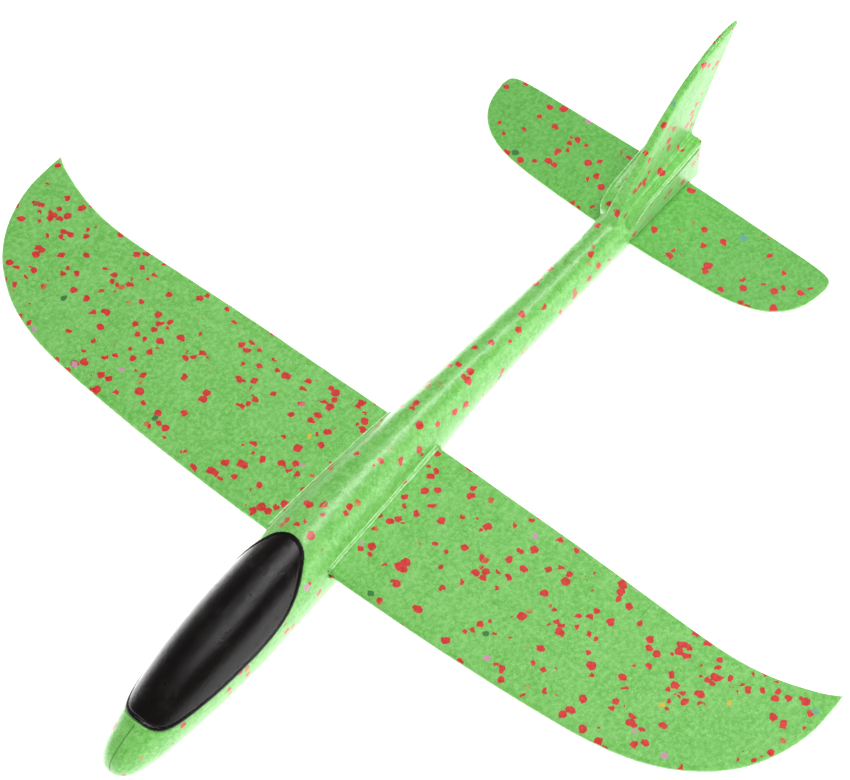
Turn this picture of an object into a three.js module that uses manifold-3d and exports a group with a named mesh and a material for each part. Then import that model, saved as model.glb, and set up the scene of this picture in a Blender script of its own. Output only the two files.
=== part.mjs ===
// Moulded bead-foam hand-launch glider, 480 mm span class.
// One-piece fuselage with integral fin and tail boss, one-piece wing that slides
// through a slot, tailplane that slides through the lower of two tail slots,
// two moulded trim flaps on V-grooved living hinges, a thin canopy shell and a
// steel nose weight in a bore under it.
//
// Construction frame: x forward, y to port, z up, z = 0 on the wing's mid plane,
// x = 0 a little behind the wing's trailing edge. The exported group is shifted so
// that its origin is the middle of the flat belly land.

import * as THREE from 'three';
import { mergeVertices } from 'three/addons/utils/BufferGeometryUtils.js';
import Module from 'manifold-3d';

// ---------------------------------------------------------------- dimensions, mm
const GAP = 0.35;             // clearance between neighbouring pieces
const BELLY_Z = -28.0;        // flat land under the fuselage
const ORIGIN_X = 104.0;       // belly land's middle, under the balance point

const WING_HALF_SPAN = 240.0;
const WING_THICKNESS = 6.2;   // at the root
const WING_TIP_THICKNESS = 4.2;
const FLAP_Y_IN = 32.0;       // trim flap, inboard and outboard ends
const FLAP_Y_OUT = 144.0;
const FLAP_HINGE_X = 57.6;    // hinge line, parallel to the trailing edge
const FLAP_HINGE_Z = 0.3;
const FLAP_V = Math.tan(THREE.MathUtils.degToRad(17)); // slope of the V groove's faces

const TAIL_Z = -8.0;          // tailplane's mid plane
const TAIL_THICKNESS = 3.8;
// spare upper slot, a slit that closes up towards its front: x, lower z, upper z
const UPPER_SLOT = [
  [-113.0, 3.4, 4.3],
  [-127.0, 7.4, 8.9],
  [-142.0, 10.4, 12.4],
  [-162.0, 12.6, 15.0],
];

const CANOPY_PROUD = 0.55;    // canopy's outer face above the foam
const CANOPY_DEPTH = 0.55;    // canopy's inner face below the foam line
const WEIGHT_X = 222.0;       // steel nose weight
const WEIGHT_RADIUS = 4.0;
const WEIGHT_LENGTH = 14.0;
const WEIGHT_BOTTOM = -14.0;

// fuselage stations: x, top z, bottom z, half width, squareness exponent
const FUSELAGE = [
  [261.0, -16.2, -18.6, 1.2, 2.0],
  [260.3, -13.2, -21.4, 4.0, 2.0],
  [258.5, -10.6, -24.0, 6.3, 2.05],
  [255.0, -7.6, -26.6, 8.8, 2.1],
  [250.0, -4.7, -28.4, 10.6, 2.1],
  [245.0, -2.8, -29.2, 12.0, 2.15],
  [240.0, -0.9, -29.6, 13.2, 2.2],
  [234.0, 1.4, -29.8, 14.4, 2.2],
  [226.0, 3.9, -29.8, 15.6, 2.25],
  [216.0, 6.4, -29.7, 16.9, 2.25],
  [204.0, 8.8, -29.6, 18.2, 2.3],
  [190.0, 11.0, -29.5, 19.2, 2.3],
  [175.0, 13.0, -29.4, 19.8, 2.3],
  [158.0, 15.0, -29.3, 19.6, 2.3],
  [140.0, 16.6, -29.2, 19.2, 2.3],
  [124.0, 17.6, -29.1, 18.8, 2.3],
  [106.0, 18.2, -29.0, 18.2, 2.3],
  [88.0, 18.3, -28.9, 17.3, 2.3],
  [72.0, 18.0, -28.8, 16.3, 2.3],
  [60.0, 17.6, -28.1, 15.5, 2.25],
  [50.0, 17.2, -25.6, 14.7, 2.2],
  [40.0, 16.7, -22.0, 13.7, 2.15],
  [24.0, 15.6, -18.3, 12.5, 2.1],
  [6.0, 14.0, -16.0, 11.7, 2.1],
  [-14.0, 12.0, -15.4, 11.2, 2.1],
  [-38.0, 9.8, -15.6, 10.6, 2.1],
  [-64.0, 7.8, -16.3, 10.0, 2.1],
  [-90.0, 6.2, -17.2, 9.7, 2.1],
  [-112.0, 5.4, -17.8, 9.6, 2.15],
  [-150.0, 5.0, -17.8, 9.5, 2.2],
  [-162.0, 4.6, -17.2, 9.3, 2.3],
  [-166.0, 3.6, -16.2, 8.7, 2.3],
  [-167.4, 2.4, -15.0, 7.4, 2.3],
];

// tail boss stations: x, top z, half width
const BOSS = [
  [-106.4, 0.4, 5.0],
  [-107.1, 2.2, 7.2],
  [-108.6, 4.0, 9.0],
  [-111.4, 5.9, 10.2],
  [-115.0, 7.8, 10.8],
  [-120.0, 9.8, 11.1],
  [-127.0, 12.0, 11.2],
  [-136.0, 14.2, 11.2],
  [-148.0, 15.9, 11.1],
  [-160.0, 17.0, 10.9],
  [-164.8, 17.3, 10.5],
  [-166.8, 17.0, 9.5],
  [-167.6, 16.2, 8.2],
];
const BOSS_BOTTOM = -9.5;

// fin levels: z, leading edge x, trailing edge x, thickness
const FIN = [
  [-2.0, -104.0, -166.2, 9.2],
  [5.0, -105.6, -166.6, 9.0],
  [9.0, -108.2, -166.8, 8.6],
  [13.0, -111.2, -167.2, 8.0],
  [18.0, -115.2, -170.4, 7.0],
  [23.0, -119.8, -173.6, 6.2],
  [28.5, -125.4, -177.2, 5.7],
  [34.0, -131.2, -180.8, 5.4],
  [40.0, -137.6, -184.8, 5.1],
  [46.0, -144.4, -188.7, 4.8],
  [52.0, -152.2, -192.6, 4.5],
  [57.5, -160.6, -196.2, 4.2],
  [62.0, -169.4, -199.2, 3.9],
  [65.5, -179.0, -201.4, 3.5],
  [67.8, -188.0, -202.9, 3.0],
  [69.0, -195.0, -203.2, 2.1],
];

// canopy's lower edge in side view, front to rear: x, z
const CANOPY_EDGE = [
  [240.6, -0.2], [239.6, -1.6], [237.6, -3.0], [234.0, -4.2], [228.0, -4.8], [218.0, -4.6],
  [205.0, -4.0], [190.0, -2.9], [176.0, -1.7], [166.0, -0.2], [158.0, 2.2],
  [151.0, 5.6], [145.0, 9.2], [139.5, 12.6], [134.5, 15.2], [130.5, 17.4],
];

// wing outline, starboard and port alike: y, leading edge x, trailing edge x
const WING = [
  [0.0, 128.9, 43.7],
  [31.0, 128.6, 43.8],
  [62.0, 127.9, 44.1],
  [90.0, 126.8, 44.3],
  [116.0, 125.3, 44.8],
  [138.0, 123.6, 45.4],
  [156.0, 121.8, 46.0],
  [171.0, 119.4, 46.3],
  [184.0, 116.0, 46.2],
  [195.0, 111.8, 45.4],
  [204.5, 106.6, 43.9],
  [212.5, 100.8, 42.0],
  [219.5, 94.6, 39.8],
  [225.5, 87.6, 37.4],
  [230.3, 80.2, 35.2],
  [234.0, 72.4, 33.6],
  [236.8, 64.4, 33.2],
  [238.7, 56.6, 35.4],
  [240.0, 48.8, 41.6],
];

// tailplane outline: y, leading edge x, trailing edge x
const TAILPLANE = [
  [0.0, -109.6, -158.0],
  [22.0, -110.1, -157.8],
  [42.0, -111.0, -157.2],
  [58.0, -112.1, -156.6],
  [70.0, -113.8, -156.2],
  [79.0, -116.4, -155.8],
  [86.0, -119.9, -155.2],
  [91.4, -124.2, -154.2],
  [95.4, -129.2, -152.8],
  [98.2, -134.8, -151.0],
  [99.8, -140.2, -148.6],
  [100.3, -143.4, -146.2],
];

// thickness along the chord: fraction of chord from the leading edge, fraction of full thickness
const SECTION = [
  [0.0, 0.22], [0.012, 0.50], [0.05, 0.77], [0.14, 0.95], [0.33, 1.0],
  [0.6, 0.89], [0.82, 0.68], [0.975, 0.46], [1.0, 0.26],
];

// ---------------------------------------------------------------- solids
const wasm = await Module();
wasm.setup();

// A closed ring stack. rings: equal-length loops of [x, y, z]; ends are capped by fans.
function ringStack(rings) {
  const n = rings[0].length;
  const pos = [];
  const index = [];
  for (const ring of rings) for (const p of ring) pos.push(p[0], p[1], p[2]);
  for (let i = 0; i < rings.length - 1; i++) {
    for (let j = 0; j < n; j++) {
      const a = i * n + j;
      const b = i * n + ((j + 1) % n);
      index.push(a, b, a + n, b, b + n, a + n);
    }
  }
  for (const [i, flip] of [[0, true], [rings.length - 1, false]]) {
    const c = new THREE.Vector3();
    for (const p of rings[i]) c.add(new THREE.Vector3(p[0], p[1], p[2]));
    c.divideScalar(n);
    const k = pos.length / 3;
    pos.push(c.x, c.y, c.z);
    for (let j = 0; j < n; j++) {
      const a = i * n + j;
      const b = i * n + ((j + 1) % n);
      if (flip) index.push(k, b, a);
      else index.push(k, a, b);
    }
  }
  const g = new THREE.BufferGeometry();
  g.setAttribute('position', new THREE.Float32BufferAttribute(pos, 3));
  g.setIndex(index);
  return g;
}

function signedVolume(g) {
  const p = g.getAttribute('position');
  const idx = g.getIndex();
  const a = new THREE.Vector3();
  const b = new THREE.Vector3();
  const c = new THREE.Vector3();
  let v = 0;
  for (let i = 0; i < idx.count; i += 3) {
    a.fromBufferAttribute(p, idx.getX(i));
    b.fromBufferAttribute(p, idx.getX(i + 1));
    c.fromBufferAttribute(p, idx.getX(i + 2));
    v += a.dot(b.cross(c)) / 6;
  }
  return v;
}

function solid(geometry) {
  let g = geometry.clone();
  for (const name of Object.keys(g.attributes)) if (name !== 'position') g.deleteAttribute(name);
  g = mergeVertices(g, 1e-4);
  const idx = Array.from(g.getIndex().array);
  if (signedVolume(g) < 0) {
    for (let i = 0; i < idx.length; i += 3) [idx[i + 1], idx[i + 2]] = [idx[i + 2], idx[i + 1]];
  }
  return new wasm.Manifold(new wasm.Mesh({
    numProp: 3,
    vertProperties: new Float32Array(g.getAttribute('position').array),
    triVerts: new Uint32Array(idx),
  }));
}

function geometryOf(manifold) {
  const m = manifold.getMesh();
  const g = new THREE.BufferGeometry();
  g.setAttribute('position', new THREE.BufferAttribute(new Float32Array(m.vertProperties), 3));
  g.setIndex(new THREE.BufferAttribute(new Uint32Array(m.triVerts), 1));
  const flat = g.toNonIndexed();
  flat.computeVertexNormals();
  return flat;
}

// Prism from an x-z outline, running from y0 to y1.
function sidePrism(outline, y0, y1) {
  const shape = new THREE.Shape(outline.map(([x, z]) => new THREE.Vector2(x, z)));
  const g = new THREE.ExtrudeGeometry(shape, { depth: y1 - y0, bevelEnabled: false });
  // shape plane (x, y) -> (x, z); the extrusion direction +z -> -y
  g.rotateX(Math.PI / 2);
  g.translate(0, y1, 0);
  return solid(g);
}

function box(x0, x1, y0, y1, z0, z1) {
  const g = new THREE.BoxGeometry(x1 - x0, y1 - y0, z1 - z0);
  g.translate((x0 + x1) / 2, (y0 + y1) / 2, (z0 + z1) / 2);
  return solid(g);
}

// ---------------------------------------------------------------- fuselage skin
const RING = 32;
function fuselageRing([x, top, bottom, half, power], offset) {
  const zc = (top + bottom) / 2;
  const b = (top - bottom) / 2 + offset;
  const a = half + offset;
  const ring = [];
  for (let j = 0; j < RING; j++) {
    const t = (j / RING) * Math.PI * 2;
    const c = Math.cos(t);
    const s = Math.sin(t);
    ring.push([
      x,
      a * Math.sign(c) * Math.abs(c) ** (2 / power),
      zc + b * Math.sign(s) * Math.abs(s) ** (2 / power),
    ]);
  }
  return ring;
}
const skin = (offset, rows = FUSELAGE) => solid(ringStack(rows.map((r) => fuselageRing(r, offset))));

// ---------------------------------------------------------------- lifting surfaces
function surfaceRing([y, le, te], thickness, z0, grow = 0) {
  const chord = le - te;
  const up = [];
  const down = [];
  for (const [u, f] of SECTION) {
    const x = le - u * chord + grow * (1 - 2 * u);
    up.push([x, y, z0 + 0.56 * thickness * f + grow]);
    down.push([x, y, z0 - 0.44 * thickness * f - grow]);
  }
  return up.concat(down.reverse());
}

function surface(rows, thicknessAt, z0) {
  const all = [...rows.slice(1).reverse().map(([y, le, te]) => [-y, le, te]), ...rows];
  return solid(ringStack(all.map((r) => surfaceRing(r, thicknessAt(Math.abs(r[0])), z0))));
}

const wingThickness = (y) => {
  if (y < 31) return WING_THICKNESS;
  const u = (y - 31) / (WING_HALF_SPAN - 31);
  return THREE.MathUtils.lerp(WING_THICKNESS, WING_TIP_THICKNESS, u) * (u > 0.96 ? 0.8 : 1);
};
const tailThickness = (y) => THREE.MathUtils.lerp(TAIL_THICKNESS, 2.9, Math.min(1, y / 100)) * (y > 99 ? 0.8 : 1);

const wingWhole = surface(WING, wingThickness, 0);
const tailplane = surface(TAILPLANE, tailThickness, TAIL_Z);

// ---------------------------------------------------------------- wing and flaps
function flapBlock(y0, y1) {
  const drop = 6 * FLAP_V;
  return sidePrism([
    [30, FLAP_HINGE_Z - 6], [FLAP_HINGE_X - drop, FLAP_HINGE_Z - 6], [FLAP_HINGE_X, FLAP_HINGE_Z],
    [FLAP_HINGE_X - drop, FLAP_HINGE_Z + 6], [30, FLAP_HINGE_Z + 6],
  ], y0, y1);
}
const flapPort = wingWhole.intersect(flapBlock(FLAP_Y_IN, FLAP_Y_OUT));
const flapStarboard = wingWhole.intersect(flapBlock(-FLAP_Y_OUT, -FLAP_Y_IN));
let wing = wingWhole;
for (const side of [1, -1]) {
  const y0 = Math.min(side * (FLAP_Y_IN - GAP), side * (FLAP_Y_OUT + GAP));
  const y1 = Math.max(side * (FLAP_Y_IN - GAP), side * (FLAP_Y_OUT + GAP));
  wing = wing.subtract(box(20, FLAP_HINGE_X + GAP, y0, y1, -12, 12));
}

// ---------------------------------------------------------------- canopy
// the edge line moved outward (down and away from the canopy) by a distance
const edgeLine = (grow) => CANOPY_EDGE.map(([x, z], i) => {
  const a = CANOPY_EDGE[Math.max(0, i - 1)];
  const b = CANOPY_EDGE[Math.min(CANOPY_EDGE.length - 1, i + 1)];
  const d = new THREE.Vector2(b[0] - a[0], b[1] - a[1]).normalize();
  return [x - d.y * grow, z + d.x * grow];
});
function canopyPrism(grow) {
  const edge = edgeLine(grow);
  const first = edge[0];
  const last = edge[edge.length - 1];
  return sidePrism([
    [first[0] + 3 + grow, first[1] + 3], ...edge, [last[0] - 4 - grow, last[1] + 2], [last[0] - 4 - grow, 60], [first[0] + 3 + grow, 60],
  ], -40, 40);
}
const canopy = skin(CANOPY_PROUD).subtract(skin(-CANOPY_DEPTH)).intersect(canopyPrism(0));
const canopySeat = canopyPrism(GAP).subtract(skin(-CANOPY_DEPTH - GAP));

// ---------------------------------------------------------------- nose weight
const weightGeometry = new THREE.CylinderGeometry(WEIGHT_RADIUS, WEIGHT_RADIUS, WEIGHT_LENGTH, 28);
weightGeometry.rotateX(Math.PI / 2);
weightGeometry.translate(WEIGHT_X, 0, WEIGHT_BOTTOM + WEIGHT_LENGTH / 2);
const weight = solid(weightGeometry);
const boreGeometry = new THREE.CylinderGeometry(WEIGHT_RADIUS + GAP, WEIGHT_RADIUS + GAP, 40, 28);
boreGeometry.rotateX(Math.PI / 2);
boreGeometry.translate(WEIGHT_X, 0, WEIGHT_BOTTOM - GAP + 20);
const bore = solid(boreGeometry);

// ---------------------------------------------------------------- fuselage
function bossRing([x, top, half]) {
  const zc = (top + BOSS_BOTTOM) / 2;
  const b = (top - BOSS_BOTTOM) / 2;
  const ring = [];
  for (let j = 0; j < RING; j++) {
    const t = (j / RING) * Math.PI * 2;
    const c = Math.cos(t);
    const s = Math.sin(t);
    const y = half * Math.sign(c) * Math.abs(c) ** (2 / 6);
    // the sides lean in a little towards the bottom
    const z = zc + b * Math.sign(s) * Math.abs(s) ** (2 / 7);
    ring.push([x, y * (1 - 0.09 * Math.max(0, (top - z) / (top - BOSS_BOTTOM))), z]);
  }
  return ring;
}
const boss = solid(ringStack(BOSS.map(bossRing)));

function finRing([z, le, te, thick]) {
  const chord = le - te;
  const right = [];
  const left = [];
  for (const [u, f] of SECTION) {
    const x = le - u * chord;
    right.push([x, 0.5 * thick * f, z]);
    left.push([x, -0.5 * thick * f, z]);
  }
  return right.concat(left.reverse());
}
const fin = solid(ringStack(FIN.map(finRing)));

// slot cutters: the root section grown by the clearance
const slotLoft = (row, thickness, z0, half) => solid(ringStack([
  surfaceRing([-half, row[1], row[2]], thickness, z0, GAP),
  surfaceRing([half, row[1], row[2]], thickness, z0, GAP),
]));
const wingSlot = slotLoft(WING[0], WING_THICKNESS, 0, 40);
const tailSlot = slotLoft(TAILPLANE[0], TAIL_THICKNESS, TAIL_Z, 30);
const upperSlot = sidePrism([
  ...UPPER_SLOT.map(([x, z]) => [x, z]).reverse(),
  ...UPPER_SLOT.map(([x, , z]) => [x, z]),
], -30, 30);

let fuselage = skin(0).add(boss).add(fin)
  .subtract(wingSlot)
  .subtract(tailSlot)
  .subtract(upperSlot)
  .subtract(canopySeat)
  .subtract(bore)
  .subtract(box(-300, 300, -60, 60, BELLY_Z - 20, BELLY_Z));

// ---------------------------------------------------------------- scene graph
const foam = () => new THREE.MeshStandardMaterial({ color: 0x82cc70, roughness: 0.62, metalness: 0 });
const film = () => new THREE.MeshStandardMaterial({ color: 0x121113, roughness: 0.22, metalness: 0 });
const steel = () => new THREE.MeshStandardMaterial({ color: 0x9a9c9e, roughness: 0.35, metalness: 1 });

const group = new THREE.Group();
group.position.set(-ORIGIN_X, 0, -BELLY_Z);
for (const [name, body, material] of [
  ['fuselage', fuselage, foam()],
  ['canopy', canopy, film()],
  ['nose_weight', weight, steel()],
  ['main_wing', wing, foam()],
  ['trim_flap_port', flapPort, foam()],
  ['trim_flap_starboard', flapStarboard, foam()],
  ['tailplane', tailplane, foam()],
]) {
  const mesh = new THREE.Mesh(geometryOf(body), material);
  mesh.name = name;
  group.add(mesh);
}

const glider = new THREE.Group();
glider.add(group);
export default glider;
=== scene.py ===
"""Moulded foam hand launch glider: visible surfaces, materials, light and camera.

The shapes are worked out in a construction frame in millimetres (x forward, y to port, z up, z = 0 in the
wing's mid plane) and written in the row frame in metres: x - 104, y, z + 28.
"""
import math

import bmesh
import bpy
import numpy as np
from mathutils import Matrix, Vector


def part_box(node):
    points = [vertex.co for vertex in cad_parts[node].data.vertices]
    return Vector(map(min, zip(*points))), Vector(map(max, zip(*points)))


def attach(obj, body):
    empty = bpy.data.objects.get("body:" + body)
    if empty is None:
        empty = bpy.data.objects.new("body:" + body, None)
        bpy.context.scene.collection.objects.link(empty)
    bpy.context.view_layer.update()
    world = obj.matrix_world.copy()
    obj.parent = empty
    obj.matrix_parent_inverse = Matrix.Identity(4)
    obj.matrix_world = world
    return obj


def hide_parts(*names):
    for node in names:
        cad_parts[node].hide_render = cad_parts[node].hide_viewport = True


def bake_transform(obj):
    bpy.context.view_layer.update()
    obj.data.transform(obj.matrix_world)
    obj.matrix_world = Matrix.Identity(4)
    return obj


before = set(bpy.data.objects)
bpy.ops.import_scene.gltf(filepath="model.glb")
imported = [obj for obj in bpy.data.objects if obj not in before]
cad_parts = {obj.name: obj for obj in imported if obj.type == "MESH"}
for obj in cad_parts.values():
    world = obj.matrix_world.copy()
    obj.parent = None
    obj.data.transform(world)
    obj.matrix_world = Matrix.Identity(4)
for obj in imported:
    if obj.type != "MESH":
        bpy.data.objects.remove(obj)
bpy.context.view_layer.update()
SHIFT = np.array([-104.0, 0.0, 28.0])
GAP = 0.35
SNUG = 0.14  # squeezed foam closes most of the clearance round the wing

# ------------------------------------------------------------------ driving shapes
BELLY_Z = -28.0
# x, top, bottom, half width, section power
FUSELAGE = [
    (261, -16.2, -18.6, 1.2, 2), (260.3, -13.2, -21.4, 4, 2), (258.5, -10.6, -24, 6.3, 2.05), (255, -7.6, -26.6, 8.8, 2.1),
    (250, -4.7, -28.4, 10.6, 2.1), (245, -2.8, -29.2, 12, 2.15), (240, -0.9, -29.6, 13.2, 2.2), (234, 1.4, -29.8, 14.4, 2.2),
    (226, 3.9, -29.8, 15.6, 2.25), (216, 6.4, -29.7, 16.9, 2.25), (204, 8.8, -29.6, 18.2, 2.3), (190, 11, -29.5, 19.2, 2.3),
    (175, 13, -29.4, 19.8, 2.3), (158, 15, -29.3, 19.6, 2.3), (140, 16.6, -29.2, 19.2, 2.3), (124, 17.6, -29.1, 18.8, 2.3),
    (106, 18.2, -29, 18.2, 2.3), (88, 18.3, -28.9, 17.3, 2.3), (72, 18, -28.8, 16.3, 2.3), (60, 17.6, -28.1, 15.5, 2.25),
    (50, 17.2, -25.6, 14.7, 2.2), (40, 16.7, -22, 13.7, 2.15), (24, 15.6, -18.3, 12.5, 2.1), (6, 14, -16, 11.7, 2.1),
    (-14, 12, -15.4, 11.2, 2.1), (-38, 9.8, -15.6, 10.6, 2.1), (-64, 7.8, -16.3, 10, 2.1), (-90, 6.2, -17.2, 9.7, 2.1),
    (-112, 5.4, -17.8, 9.6, 2.15), (-150, 5, -17.8, 9.5, 2.2), (-162, 4.6, -17.2, 9.3, 2.3), (-166, 3.6, -16.2, 8.7, 2.3),
    (-167.4, 2.4, -15, 7.4, 2.3)]
# tail block above the boom: x, top, half width; its front is blunt with rounded corners over the boom's shoulders
BOSS = [
    (-108, 0.6, 11), (-110.9, 3.6, 11), (-111.8, 4.7, 11), (-113, 5.9, 11), (-116, 8.6, 11.1), (-119.2, 10.7, 11.2), (-124, 12.3, 11.2),
    (-131, 13.5, 11.2), (-142, 15.2, 11.2), (-155, 16.7, 11), (-164.4, 17.7, 10.7), (-166.6, 17.4, 10.2), (-167.6, 16.8, 9.6)]
BOSS_BOTTOM = -9.5
# fin: z, leading edge x, trailing edge x, thickness
FIN = [
    (-2, -104, -166.2, 9.2), (5, -105.6, -166.6, 9), (9, -108.2, -166.8, 8.6), (13, -111.2, -167.2, 8), (18, -115.2, -170.4, 7),
    (23, -119.8, -173.6, 6.2), (28.5, -125.4, -177.2, 5.7), (34, -131.2, -180.8, 5.4), (40, -137.6, -184.8, 5.1),
    (46, -144.4, -188.7, 4.8), (52, -152.2, -192.6, 4.5), (57.5, -160.6, -196.2, 4.2), (62, -169.4, -199.2, 3.9),
    (65.5, -179, -201.4, 3.5), (67.8, -188, -202.9, 3), (69, -195, -203.2, 2.1)]
# x, z of the canopy's lower edge, nose to rear
CANOPY_EDGE = [
    (240.6, -0.2), (239.6, -1.6), (237.6, -3), (234, -4.2), (228, -4.8), (218, -4.6), (205, -4), (190, -2.9), (176, -1.7),
    (166, -0.2), (158, 2.2), (151, 5.6), (145, 9.2), (139.5, 12.6), (134.5, 15.2), (130.5, 17.4)]
# y, leading edge x, trailing edge x
WING = [
    (0, 128.9, 43.7), (31, 128.6, 43.8), (62, 127.9, 44.1), (90, 126.8, 44.3), (116, 125.3, 44.8), (138, 123.6, 45.4),
    (156, 121.8, 46), (171, 119.4, 46.3), (184, 116, 46.2), (195, 111.8, 45.4), (204.5, 106.6, 43.9), (212.5, 100.8, 42),
    (219.5, 94.6, 39.8), (225.5, 87.6, 37.6), (230.3, 80.2, 35.7), (234, 72.4, 33.9), (236.8, 64.4, 32.3), (238.4, 58, 31.2),
    (239.3, 52.5, 30.5)]
TAILPLANE = [
    (0, -109.6, -158), (22, -110.1, -157.8), (42, -111, -157.3), (58, -112.1, -156.9), (70, -113.8, -156.6), (79, -116.4, -156.4),
    (86, -119.9, -156.1), (91.4, -124.2, -155.7), (95.4, -129.2, -155.1), (98.2, -134.8, -154), (99.8, -141.2, -152.2),
    (100.3, -145.6, -149.8)]
TAIL_Z = -8.0
UPPER_SLOT = [(-129, 10.9, 11.1), (-134, 11.2, 11.9), (-142, 11.9, 13.0), (-162, 13.8, 15.2)]
FLAP_IN, FLAP_OUT = 32.0, 144.0
HINGE_X, HINGE_Z = 57.6, 0.3
FLAP_V = math.tan(math.radians(17))
PARTING = 0.35  # how far the mould's parting ridge stands out of the wing's edge


# ------------------------------------------------------------------ small numeric helpers
def smooth(v, sigma):
    """Gaussian smoothing of a table that keeps its two end values."""
    if sigma <= 0:
        return v
    n = int(max(2, 3 * sigma))
    k = np.exp(-0.5 * (np.arange(-n, n + 1) / sigma) ** 2)
    k /= k.sum()
    left = 2 * v[0] - v[1:n + 1][::-1]
    right = 2 * v[-1] - v[-n - 1:-1][::-1]
    return np.convolve(np.concatenate([left, v, right]), k, mode="valid")


class Curve:
    """A shape preserving cubic through the given points, kept as a dense table."""

    def __init__(self, x, y, n=3000, sigma=0.0):
        x, y = np.array(x, float), np.array(y, float)
        if x[0] > x[-1]:
            x, y = x[::-1], y[::-1]
        h = np.diff(x)
        d = np.diff(y) / h
        m = np.zeros_like(y)
        m[0], m[-1] = d[0], d[-1]
        for i in range(1, len(x) - 1):
            if d[i - 1] * d[i] > 0:
                w1, w2 = 2 * h[i] + h[i - 1], h[i] + 2 * h[i - 1]
                m[i] = (w1 + w2) / (w1 / d[i - 1] + w2 / d[i])
        self.x = np.linspace(x[0], x[-1], n)
        i = np.clip(np.searchsorted(x, self.x, side="right") - 1, 0, len(x) - 2)
        t = (self.x - x[i]) / h[i]
        self.y = ((1 + 2 * t) * (1 - t) ** 2 * y[i] + t * (1 - t) ** 2 * h[i] * m[i]
                  + t * t * (3 - 2 * t) * y[i + 1] + t * t * (t - 1) * h[i] * m[i + 1])
        step = self.x[1] - self.x[0]
        self.y = smooth(self.y, sigma / step)
        self.dy = np.gradient(self.y, step)

    def __call__(self, q):
        return np.interp(q, self.x, self.y)

    def slope(self, q):
        return np.interp(q, self.x, self.dy)


def rmax(a, b, r):
    """Both regions at once, their common edge rounded to radius r."""
    return np.minimum(np.maximum(a, b), -r) + np.hypot(np.maximum(a + r, 0), np.maximum(b + r, 0))


def smin(a, b, k):
    """Either region, with a fillet of size k where they meet."""
    h = np.maximum(k - np.abs(a - b), 0) / k
    return np.minimum(a, b) - h * h * k * 0.25


def step01(v, lo, hi):
    t = np.clip((v - lo) / (hi - lo), 0, 1)
    return t * t * (3 - 2 * t)


def catmull(points, per=12):
    p = np.array(points, float)
    q = np.vstack([2 * p[0] - p[1], p, 2 * p[-1] - p[-2]])
    out = []
    for i in range(1, len(q) - 2):
        for t in np.arange(per) / per:
            out.append(0.5 * (2 * q[i] + (q[i + 1] - q[i - 1]) * t + (2 * q[i - 1] - 5 * q[i] + 4 * q[i + 1] - q[i + 2]) * t * t
                              + (3 * q[i] - q[i - 1] - 3 * q[i + 1] + q[i + 2]) * t ** 3))
    out.append(p[-1])
    return np.array(out)


def line_distance(px, py, line):
    """Unsigned distance from points to a polyline."""
    best = np.full(px.shape, 1e9)
    for a, b in zip(line[:-1], line[1:]):
        d = b - a
        t = np.clip(((px - a[0]) * d[0] + (py - a[1]) * d[1]) / max(d @ d, 1e-12), 0, 1)
        best = np.minimum(best, (px - a[0] - t * d[0]) ** 2 + (py - a[1] - t * d[1]) ** 2)
    return np.sqrt(best)


class Sheet:
    """A two dimensional distance table with smooth look-up."""

    def __init__(self, x0, x1, y0, y1, h, fill):
        self.x0, self.y0, self.h = x0, y0, h
        xs = np.arange(x0, x1 + h, h)
        ys = np.arange(y0, y1 + h, h)
        gx, gy = np.meshgrid(xs, ys, indexing="ij")
        self.v = fill(gx, gy)

    def __call__(self, x, y):
        u = np.clip((x - self.x0) / self.h, 0, self.v.shape[0] - 1.001)
        w = np.clip((y - self.y0) / self.h, 0, self.v.shape[1] - 1.001)
        i, j = u.astype(int), w.astype(int)
        u, w = u - i, w - j
        v = self.v
        return (v[i, j] * (1 - u) * (1 - w) + v[i + 1, j] * u * (1 - w) + v[i, j + 1] * (1 - u) * w + v[i + 1, j + 1] * u * w)


def hash3(i, j, k, seed):
    n = (i.astype(np.int64) * 73856093) ^ (j.astype(np.int64) * 19349663) ^ (k.astype(np.int64) * 83492791) ^ (seed * 2654435761)
    n &= 0xffffffff
    n = ((n ^ (n >> 15)) * 2246822519) & 0xffffffff
    n = ((n ^ (n >> 13)) * 3266489917) & 0xffffffff
    return ((n ^ (n >> 16)) & 0xffffff) / float(0xffffff)


def value_noise(p, scale, seed):
    """Smooth noise from -1 to 1 with features of the given size, the same on every run."""
    q = p / scale
    f = np.floor(q)
    t = q - f
    t = t * t * (3 - 2 * t)
    f = f.astype(np.int64)
    total = np.zeros(len(p))
    for a in (0, 1):
        for b in (0, 1):
            for c in (0, 1):
                w = (t[:, 0] if a else 1 - t[:, 0]) * (t[:, 1] if b else 1 - t[:, 1]) * (t[:, 2] if c else 1 - t[:, 2])
                total += w * hash3(f[:, 0] + a, f[:, 1] + b, f[:, 2] + c, seed)
    return total * 2 - 1


# ------------------------------------------------------------------ fields, negative inside
S_OF = lambda x: np.sqrt(np.maximum(261.2 - x, 0.2))
_fs = [math.sqrt(261.2 - r[0]) for r in FUSELAGE]
TOP, BOTTOM, HALF, POWER = (Curve(_fs, [r[i] for r in FUSELAGE], 5000, 0.2) for i in (1, 2, 3, 4))


def body(x, y, z):
    """The lofted fuselage without anything cut or added."""
    s = S_OF(x)
    top, bottom, half, power = TOP(s), BOTTOM(s), HALF(s), POWER(s)
    zc, b = (top + bottom) / 2, (top - bottom) / 2
    dz = z - zc
    rho = ((np.abs(y) / half) ** power + (np.abs(dz) / b) ** power) ** (1 / power)
    radius = np.sqrt(y * y + dz * dz)
    return radius * (1 - 1 / np.maximum(rho, 1e-3))


_bx = [r[0] for r in BOSS]
BOSS_TOP = Curve(_bx, [r[1] for r in BOSS], 1500, 0.2)
BOSS_HALF = Curve(_bx, [r[2] for r in BOSS], 1500, 0.15)


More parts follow.
